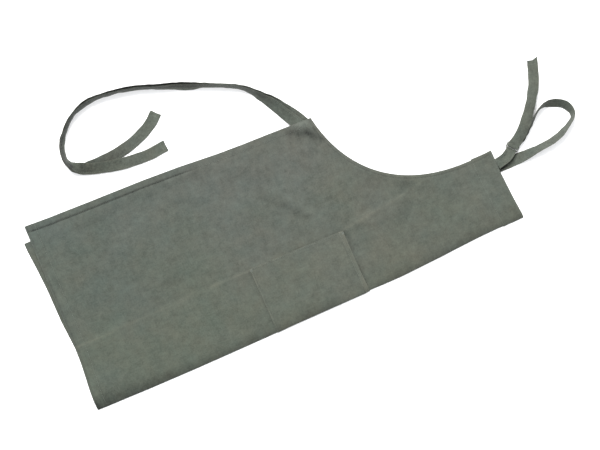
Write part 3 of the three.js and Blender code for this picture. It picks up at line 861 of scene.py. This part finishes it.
# Painted shade and painted highlight of the upper layer: soft darker (or, below zero, paler) patches beside
# the pocket's mouth and edges, along wrinkles and the crease, and over the gathers at the waist corner: from,
# to, width, strength.
PAINTED_SHADING_PATCHES = (
    (106, 141, 132, 126, 6, 1.6), (100, 140, 141, 119, 9, 0.5), (126, 146, 144, 138, 4, -0.8),
    (142, 116, 150, 106, 7, 0.9), (130, 132, 139, 124, 6, 1.1), (248, -26, 262, -34, 9, 0.4),
    (130, -69, 168, -77, 7, 0.6), (-340, 40, -330, 36, 16, 0.3), (99, 136, 95, 118, 2.4, 0.5),
    (115, 134, 113, 114, 2.4, 0.6), (132, 134, 135, 114, 2.4, 0.6), (124, 134, 126, 114, 2.4, -0.5),
    (106, 134, 103, 114, 2.4, -0.4), (146, 131, 150, 106, 2.2, 0.6), (-215, -34, -185, -32, 12, 0.3),
    (-50, -32, -38, -30, 12, 0.3), (48, 0, 56, -8, 9, 0.4), (118, 152, 140, 148, 4, -1.2),
    (259, -34, 319, -82, 11, 0.5), (200, 14, 240, -22, 9, 0.3), (-330, 140, -245, 144, 9, 0.5),
    (-210, 150, -60, 138, 9, 0.45), (-20, 112, 20, 88, 14, 0.3), (1, 53, 36, 22, 5, 0.6),
    (36, 22, 66, -18, 6, 0.6), (33, 56, 88, -24, 6, -0.5), (-60, -58, -14, -60, 7, -0.75),
    (150, -55, 250, -51, 6, -0.55), (118, -66, 112, -76, 4, 1.4), (118.5, -74, 118.5, -168, 2.4, 0.6),
    (121, -72, 120, -104, 5, 0.7), (118, -130, 114, -164, 7, 0.6), (-73, -170, -73, -62, 2, 0.6),
    (-70, -58.5, 20, -60.5, 1.8, 0.35), (20, -60.5, 114, -62.5, 1.8, 0.6), (-6, -82, 22, -78, 12, 0.45),
    (18, -122, 40, -112, 14, -0.35), (226, -84, 250, -80, 16, 0.4), (-360, 84, -352, 74, 18, 0.35),
    (-362, 20, -350, 8, 16, 0.35), (-280, 20, -270, 14, 22, 0.3), (-226, 66, -206, 60, 20, -0.25),
    (-64, 66, -44, 60, 22, -0.25), (-150, -4, -120, -10, 18, -0.25), (60, 60, 76, 52, 14, -0.3),
    (340, -120, 360, -124, 18, -0.25), (-424, 130, -412, 20, 3, -0.5), (402, 0, 420, -60, 12, 0.25),
)


def tones(half, x, y):
    """How pale and how dark the cloth is painted: ridges and edges go pale with wear and painted highlight,
    and grooves, the folded edge and gathers go dark with painted shade.
    """
    side, arm, hem, bib = edges_of(half, x, y)
    # Paler edges: partly wear, partly painted highlight where they are raised to the lamp.
    wear_and_painted_highlight = 0.35 * bell(arm[0] - 2.2, 2.4) + 0.3 * bell(hem[0], 1.6) + 0.3 * bell(side[0], 1.4)
    wear_and_painted_highlight += 0.25 * bell(bib[0], 1.5)
    # Painted shade in the stitched grooves of the hems and the bib's facing.
    painted_shade_and_soil = 0.9 * bell(arm[0] - ARM_HEM, 1.2) + 0.85 * bell(hem[0] - 3, 1.4)
    painted_shade_and_soil += 0.5 * bell(hem[0] - BOTTOM_HEM, 1.2) + 0.3 * bell(bib[0] - BIB_FACING, 1.2)
    if half is front_cut:
        fade = 1 - smooth(300, 345, side[1])
        start = smooth(6, 12, side[1])
        # Painted shade: a dark line along the side hem's groove and a darker strip outside it, fading towards
        # the waist.
        painted_shade_and_soil += (2.6 * bell(side[0] - SIDE_HEM, 1.5) + 0.3 * (side[0] < SIDE_HEM)) * fade * start
        painted_shade_and_soil += 0.6 * bell(side[0] - SIDE_HEM, 1.2) * (1 - fade)
        crease, along, run = line_distance(x, y, CREASE)
        # The crease's ridge is painted pale: partly wear, partly painted highlight.
        ridge = 1.15 * bell(crease, 2.6) * (1 - 0.5 * smooth(560, 700, along)) * (1 - 0.4 * bell(x + 240, 70))
        wear_and_painted_highlight += ridge * (0.72 + 0.28 * waves(x, y * 0, 30, 71).clip(-1, 1))
        # Painted shade beyond the crease.
        painted_shade_and_soil += 0.1 * smooth(0, 6, above_crease(x, y))
        # A little darker towards the hem, away from the fold.
        painted_shade_and_soil += 0.1 * (1 - smooth(-240, -60, x)) * smooth(-60, -20, y)
        # Painted shade along the folded edge.
        painted_shade_and_soil += fold_painted_shade(x, y - fold_edge(x))
        # Patches of painted shade and painted highlight.
        painted_shade_and_soil += strokes(x, y, PAINTED_SHADING_PATCHES)
    return wear_and_painted_highlight, painted_shade_and_soil


back_tones, front_tones = tones(back_cut, back_x, back_y), tones(front_cut, front_x, front_y)
wear_and_painted_highlight, painted_shade_and_soil = (both_layers(*pair) for pair in zip(back_tones, front_tones))
cloth = shell("apron_cloth", middle, HALF_CLOTH, flat_uv,
              {"wear_and_painted_highlight": wear_and_painted_highlight, "painted_shade_and_soil": painted_shade_and_soil, **dye(middle[..., 0], middle[..., 1])})
dress(cloth, canvas_material)
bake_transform(cloth)
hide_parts("panel_back", "panel_front")


# -------- bands turned in along the edges

def layer_point(half, x, y, outward):
    """A point of the layer, moved out of it along its outer normal."""
    return surface(half, x, y) + half.up * plan_normals(half.height, x, y) * outward


def resample(points, spacing, start=0.0, end=0.0):
    """Evenly spaced points of a plan line, and their distance along it."""
    points = np.asarray(points, float)
    run = run_of(points)
    s = np.linspace(start, run[-1] - end, max(int((run[-1] - start - end) / spacing), 2) + 1)
    return points_at(s, run, points), s


def inward_of(line):
    """Unit vectors to the right of a plan line, which is the cloth's side of its edges."""
    t = unit(np.gradient(line, axis=0))
    return np.stack([t[:, 1], -t[:, 0]], 1)


BAND, BAND_GAP = 0.8, 0.03


def band(name, half, edge, width, start=0.0, end=0.0, way=1):
    """The turned-in cloth along one edge, lying on the panel's inner face."""
    line, s = resample(edge, 4.0, start, end)
    across = np.concatenate([[0.4], np.linspace(1.9, width - 1.2, max(int(width / 4), 2)), [width]])
    plan = line[None] + (inward_of(line) * way)[None] * across[:, None, None]
    points = layer_point(half, plan[..., 0], plan[..., 1], -(HALF_CLOTH + BAND_GAP + BAND / 2))
    uv = np.stack(np.broadcast_arrays(s[None] + 333, across[:, None] + 77), -1)
    return trim(f"{name}_{half.name}", points, BAND / 2, uv, 0.1, 0.2, half.body, half.up)


def end_lines(half, gap):
    """The hem's and the bib's edges, from a little way off the fold."""
    hem_foot = (half.hem[1, 0], half.hem[0, 1] + gap + 4)
    bib_foot = (half.bib_end[-2, 0], half.bib_end[-1, 1] + gap + 5)
    hem = [hem_foot, *[tuple(p) for p in half.hem if p[1] > hem_foot[1] + 4]]
    bib = [*[tuple(p) for p in half.bib_end if p[1] > bib_foot[1] + 4], bib_foot]
    return hem, bib


pieces = []
for half in HALVES:
    hem_line, bib_line = end_lines(half, 7.0)
    patch_line = [half.waist + half.down_side * 10, half.waist + half.down_side * 36]
    pieces += [band("bottom_hem", half, hem_line, BOTTOM_HEM, end=13.4),
               band("side_hem", half, half.side, SIDE_HEM, start=1, end=36.6),
               band("armhole_hem", half, half.arm, ARM_HEM, start=12, end=41.6),
               band("bib_facing", half, bib_line, BIB_FACING, start=1),
               band("tie_patch", half, patch_line, 14, way=-1)]


# -------- the patch pocket, wrapped round the fold

POCKET_CLOTH, MOUTH_HEM = 0.7, 10.0
POCKET_ROWS, POCKET_COLS = 58, 74
# From the middle of the panel's cloth to the middle of the pocket's.
POCKET_GAP = HALF_CLOTH + 0.06 + POCKET_CLOTH / 2


def pocket_grid(half):
    """Plan points from the fold outward over the pocket's width."""
    x0 = np.concatenate([
        POCKET_FROM + np.array([0, 0.5, 1.5, 3, 5, 7.5]),
        np.linspace(POCKET_FROM + 10, POCKET_TO - 14, POCKET_COLS),
        POCKET_TO - np.array([12, 11, 10, 9, 7, 4.5, 3, 2, 1, 0.4, 0]),
    ])
    reach = pocket_reach(x0) - fold_edge(x0) - (0 if half is front_cut else 1)
    q = np.array([np.concatenate([NEAR, np.linspace(NEAR[-1], r - 9, POCKET_ROWS + 1)[1:],
                                  r - np.array([7, 5, 3, 2, 1, 0.4, 0])]) for r in reach]).T
    x = np.broadcast_to(x0, q.shape)
    bow = 1.2 * np.sin(math.pi * q / q[-1:]) * smooth(POCKET_TO - 60, POCKET_TO, x)
    return x - bow, fold_edge(x0) + q, q


def pocket_relief(x, y, q):
    """Thicker over the turned edges and the mouth's hem, and level with the fold."""
    inside = np.minimum(x - POCKET_FROM, pocket_reach(x) - y)
    turned = 0.4 * (1 - smooth(7, 10, inside))
    mouth = 0.6 * (1 - smooth(MOUTH_HEM - 0.5, MOUTH_HEM + 2.5, POCKET_TO - x))
    lift = np.maximum(turned, mouth)
    lift = lift - 0.3 * bell(inside - 2.4, 1.1)
    groove = 0.35 * bell(POCKET_TO - x - MOUTH_HEM + 1.2, 1.0)
    puff = 0.5 * smooth(10, 60, POCKET_TO - x) * smooth(0, 40, pocket_reach(x) - y) * smooth(15, 60, q)
    return (lift - groove + puff * 0.4).clip(-0.2, 1.2) * smooth(2, 14, q)


over_x, over_y, over_run = pocket_grid(front_cut)
under_x, under_y, under_run = pocket_grid(back_cut)
base = both_layers(surface(back_cut, under_x, under_y), surface(front_cut, over_x, over_y))
base_x, base_y = base[..., 0], base[..., 1]
extra = both_layers(np.zeros_like(under_run), pocket_relief(over_x, over_y, over_run))
pocket_middle = base + grid_normals(base) * (POCKET_GAP + extra)[..., None]
pocket_middle[..., 2] = np.maximum(pocket_middle[..., 2], POCKET_CLOTH / 2 + 0.03)
pocket_uv = np.stack([pocket_middle[..., 0] + 2200, both_layers(-under_run, over_run) + 15], -1)
edge_in = inside_pocket(base_x, base_y)
uneven = 0.6 + 0.4 * waves(base_x, base_y, 38, 88).clip(-1.4, 1.4)
from_mouth = POCKET_TO - base_x
# Pale edges and mouth: partly wear, partly painted highlight along their raised turned edges.
pocket_wear_and_highlight = 0.55 * bell(edge_in, 1.6) * uneven + 0.7 * bell(from_mouth - 1, 2.2)
pocket_wear_and_highlight += 0.5 * bell(from_mouth - 5, 3)
# Painted shade in the groove inside the stitched edge and in the mouth hem's groove.
pocket_shade_and_soil = (0.65 * bell(edge_in - 2.8, 1.3) + bell(from_mouth - MOUTH_HEM + 1.2, 1.4)) * uneven
# The pale spots of the bartacks at the pocket's two corners.
for tack_x, tack_y, amount in ((-70.7, -61.8, 1.9), (110.5, -67.0, 1.5)):
    pocket_wear_and_highlight += amount * bell(np.hypot((base_x - tack_x) / 1.6, base_y - tack_y), 1.7)
# Painted shade along the folded edge.
pocket_shade_and_soil[len(under_run):] += fold_painted_shade(over_x, over_run)[1:]
pocket_shade_and_soil -= 0.08
pocket = shell("pocket_cloth", pocket_middle, POCKET_CLOTH / 2, pocket_uv,
               {"wear_and_painted_highlight": pocket_wear_and_highlight, "painted_shade_and_soil": pocket_shade_and_soil, **dye(base_x, base_y)}, 0.25)
dress(pocket, canvas_material)
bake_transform(pocket)
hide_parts("pocket_back", "pocket_front")


def mouth_hem(half, outward, half_thick):
    """The pocket's mouth turned under, between the pocket and the panel."""
    x, y = np.meshgrid(POCKET_TO - np.array([10, 9, 7, 4, 2, 0.8]),
                       np.linspace(FOLD_Y + 12, POCKET_END_Y - 3, 40))
    return trim(f"pocket_mouth_hem_{half.name}", layer_point(half, x, y, outward), half_thick,
                np.stack([x + 700, y + 700], -1), 0, 0.05, half.body, half.up)


pieces += [mouth_hem(front_cut, HALF_CLOTH + 0.36, 0.25), mouth_hem(back_cut, HALF_CLOTH + 0.05, 0.02)]


# -------- sewing thread

STITCH, PITCH, THREAD, STITCH_FLATTENED, STITCH_JITTER = 2.5, 3.3, 0.42, 0.75, 0.06
# One stitch of unit length and radius: rings at a distance along it, with their radius.
STITCH_RINGS = ((-0.5, 0.15), (-0.42, 0.75), (-0.2, 1.0), (0.2, 1.0), (0.42, 0.75), (0.5, 0.15))
AROUND = 6
TEMPLATE = np.array([(t, math.cos(a) * r, math.sin(a) * r) for t, r in STITCH_RINGS
                     for a in np.linspace(0, 2 * math.pi, AROUND, endpoint=False)])
TEMPLATE_FACES = tube_faces(len(STITCH_RINGS), AROUND)


class Thread:
    """Collects stitches and makes one mesh of them."""

    def __init__(self, name, body):
        self.name, self.body = name, body
        self.verts, self.uv = [], []

    def add(self, centre, tangent, normal, length=STITCH, radius=THREAD / 2):
        side = unit(np.cross(normal, tangent))
        up = unit(np.cross(tangent, side))
        for c, t, s, u in zip(centre, unit(tangent), side, up):
            self.verts.append(c + TEMPLATE[:, :1] * t * length + TEMPLATE[:, 1:2] * s * radius
                              + TEMPLATE[:, 2:] * u * radius * STITCH_FLATTENED)
            self.uv.append(TEMPLATE[:, :2] * [length, radius])

    def on_layer(self, half, line, face, start=0.0, end=0.0, pitch=PITCH, length=STITCH, radius=THREAD / 2):
        """A run of stitches along a plan line, on the outer (1) or inner (-1) face of one half."""
        points, s = resample(line, pitch, start, end)
        x, y = (points + rng.normal(0, STITCH_JITTER, points.shape)).T
        n = plan_normals(half.height, x, y) * (half.up * face)
        deep = HALF_CLOTH + (BAND + BAND_GAP if face < 0 else 0) - 0.02
        centre = surface(half, x, y) + n * deep
        keep = centre[:, 2] > 0.12
        if keep.any():
            self.add(centre[keep], np.gradient(centre, axis=0)[keep], n[keep], length, radius)

    def build(self):
        count = len(TEMPLATE)
        faces = [[i + k * count for i in f] for k in range(len(self.verts)) for f in TEMPLATE_FACES]
        obj = make_mesh(self.name, np.concatenate(self.verts), faces, np.concatenate(self.uv))
        dress(obj, thread_material, self.body)


def inset_line(edge, distance):
    line, s = resample(edge, 6)
    return line + inward_of(line) * distance


threads = {half.name: Thread(f"stitching_{half.name}", half.body) for half in HALVES}
for half in HALVES:
    hem_line, bib_line = end_lines(half, 10.0)
    for face in (1, -1):
        for edge, inset, start, end in (
                (half.side, SIDE_HEM - 0.8, 1, 1), (half.arm, ARM_HEM - 0.9, 2, 2),
                (hem_line, BOTTOM_HEM - 1.2, 0, 2), (bib_line, BIB_FACING - 1.2, 1, 0),
                (bib_line, 2.2, 1, 0)):
            threads[half.name].on_layer(half, inset_line(edge, inset), face, start, end)


def box_stitch(half, face):
    """A box with both its diagonals, over the tie's root."""
    into = np.array([-half.down_side[1], half.down_side[0]])
    corners = [half.waist + half.down_side * down + into * inset
               for down, inset in ((12, 2.5), (33, 2.5), (33, 12.5), (12, 12.5))]
    for line, end in ((corners + corners[:1], 0), (corners[::2], 1), (corners[1::2], 1)):
        threads[half.name].on_layer(half, line, face, end, end, 2.4, 1.9, 0.24)


for half in HALVES:
    for face in (1, -1):
        box_stitch(half, face)


def pocket_stitch(half, line, pitch=PITCH, length=STITCH, end=0.0, radius=THREAD / 2):
    """A run on the pocket's outer face; under the back half it lies just above the ground."""
    points, s = resample(line, pitch, end, end)
    x, y = points.T
    if half is front_cut:
        n = plan_normals(top_height, x, y)
        over = pocket_relief(x, y, y - fold_edge(x))
        centre = layer_point(half, x, y, POCKET_GAP + POCKET_CLOTH / 2) + n * over[:, None]
    else:
        radius = 0.1
        n = np.tile([0, 0, -1.0], (len(x), 1))
        centre = np.column_stack([x, y, np.full(len(x), radius)])
    threads[half.name].add(centre, np.gradient(centre, axis=0), n, length, radius)


LOW_Y, LEFT, RIGHT = FOLD_Y + 6, POCKET_FROM + 2.2, POCKET_TO - 0.8
for half in HALVES:
    pocket_stitch(half, [(LEFT, LOW_Y), (LEFT, POCKET_START_Y - 2.2)])
    pocket_stitch(half, [(LEFT, POCKET_START_Y - 2.2), (RIGHT, POCKET_END_Y - 2.2)])
    for inset in (MOUTH_HEM - 1.2, 7.6):
        pocket_stitch(half, [(POCKET_TO - inset, LOW_Y), (POCKET_TO - inset, POCKET_END_Y - 1)])
    for x, y in ((POCKET_FROM + 1.5, POCKET_START_Y - 1.5), (POCKET_TO - 3, POCKET_END_Y - 1.5)):
        for k in range(9):
            pocket_stitch(half, [(x - 0.6, y - k * 0.62), (x + 2.4, y - k * 0.62)], 1.5, 2.6, 0.2, 0.22)


STRAP_SEAM = -7.3  # how far across a strap from its middle its seam runs


def strap_stitches(t, info, face, start):
    """A run along a strap, a little inside its edge, on one of its faces."""
    s = np.arange(start, info["s"][-1] - 2, PITCH)
    middle, tangent, across, normal = sample(info, s)
    narrow, edge_wave = (np.interp(s, info["s"], info[key])[:, None] for key in ("narrow", "edge_wave"))
    curl = edge_wave * (STRAP_SEAM / (info["width"] / 2)) ** 3
    centre = middle + across * STRAP_SEAM * narrow + normal * (curl + face * (info["thick"] / 2 - 0.1))
    t.add(centre, tangent, normal * face)


def end_stitches(t, info):
    """The two rows across a strap's turned end."""
    u = np.arange(-8, 8.1, 2.9)[:, None]
    for back in (2.2, 7.6):
        middle, tangent, across, normal = sample(info, info["s"][-1] - back)
        for face in (1, -1):
            centre = middle + across * u + normal * face * (info["thick"] / 2 - 0.02)
            t.add(centre, np.tile(across, (len(u), 1)), np.tile(normal * face, (len(u), 1)), 2.3)


for info, key, start in ((tie_front_info, "front", 8), (tie_back_info, "back", 6), (neck_info, "back", 6),
                         (tab_info, "front", 8)):
    for face in (1, -1):
        strap_stitches(threads[key], info, face, start)
end_stitches(threads["front"], tie_front_info)
end_stitches(threads["back"], tie_back_info)
end_stitches(threads["back"], neck_info)
for t in threads.values():
    t.build()


# -------- the slider

def bar(name, points, radius, closed):
    """A round bar along a plan line at the slider, slightly flattened."""
    p = np.array(points, float)
    t = unit(np.roll(p, -1, 0) - np.roll(p, 1, 0)) if closed else unit(np.gradient(p, axis=0))
    side = np.stack([-t[:, 1], t[:, 0]], 1)
    angles = np.linspace(0, 2 * math.pi, 14, endpoint=False)
    plan = p[:, None] + side[:, None] * np.cos(angles)[:, None] * radius
    verts = SLIDER_CENTRE + ALONG * plan[..., :1] + ACROSS * plan[..., 1:]
    verts[..., 2] += np.sin(angles) * radius * 0.85
    obj = make_mesh(name, verts.reshape(-1, 3), tube_faces(len(p), len(angles), closed))
    dress(obj, slider_material, FRONT)
    return obj


BAR, CORNER = 0.95, 2.2
HALF_ALONG, HALF_ACROSS = 5.5, 11.5
ring = []
for quarter, (sx, sy) in enumerate(((1, 1), (-1, 1), (-1, -1), (1, -1))):
    for a in np.linspace(0, math.pi / 2, 8) + quarter * math.pi / 2:
        ring.append((sx * (HALF_ALONG - CORNER) + CORNER * math.cos(a),
                     sy * (HALF_ACROSS - CORNER) + CORNER * math.sin(a)))
slider = bar("strap_slider", ring, BAR, True)
bar("strap_slider_bar", [(0, y) for y in np.linspace(-HALF_ACROSS, HALF_ACROSS, 9)], BAR * 0.95, False)
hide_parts("strap_slider")


# -------- floor and light

# A wide pale floor just under the cloth, a soft lamp high up on the +Y side, and an even, bright sky.
FLOOR_HALF, FLOOR_Z, FLOOR_GLOW = 14.0, -0.0001, 0.12
SKY_COLOUR, SKY_STRENGTH = (0.97, 0.98, 1.0, 1), 1.2
LAMP_COLOUR, LAMP_POWER, LAMP_SIZE = (1, 0.99, 0.97), 400, 2.6
LAMP_AIM, LAMP_WAY, LAMP_DISTANCE = Vector((0.05, 0, 0)), Vector((0.05, 0.90, 1.0)), 5.0

floor_mesh = bpy.data.meshes.new("floor")
floor_corners = [(FLOOR_HALF * i, FLOOR_HALF * j, FLOOR_Z) for i, j in ((-1, -1), (1, -1), (1, 1), (-1, 1))]
floor_mesh.from_pydata(floor_corners, [], [[0, 1, 2, 3]])
floor_look = Graph("floor", Base_Color=(0.9, 0.9, 0.9, 1), Roughness=0.9, Specular_IOR_Level=0.1,
                   Emission_Color=(1, 1, 1, 1), Emission_Strength=FLOOR_GLOW)
floor_mesh.materials.append(floor_look.material)
floor = placed("floor", floor_mesh)

world = bpy.data.worlds.new("world")
bpy.context.scene.world = world
world.use_nodes = True
background = world.node_tree.nodes["Background"]
background.inputs["Color"].default_value = SKY_COLOUR
background.inputs["Strength"].default_value = SKY_STRENGTH

lamp_data = bpy.data.lights.new("key", "AREA")
lamp_data.shape = "DISK"
lamp_data.size, lamp_data.energy, lamp_data.color = LAMP_SIZE, LAMP_POWER, LAMP_COLOUR
lamp = placed("key", lamp_data)
away = LAMP_WAY.normalized()
lamp.location = LAMP_AIM + away * LAMP_DISTANCE
lamp.rotation_euler = away.to_track_quat("Z", "Y").to_euler()

scene = bpy.context.scene
scene.view_settings.view_transform = "Standard"
scene.view_settings.look = "None"
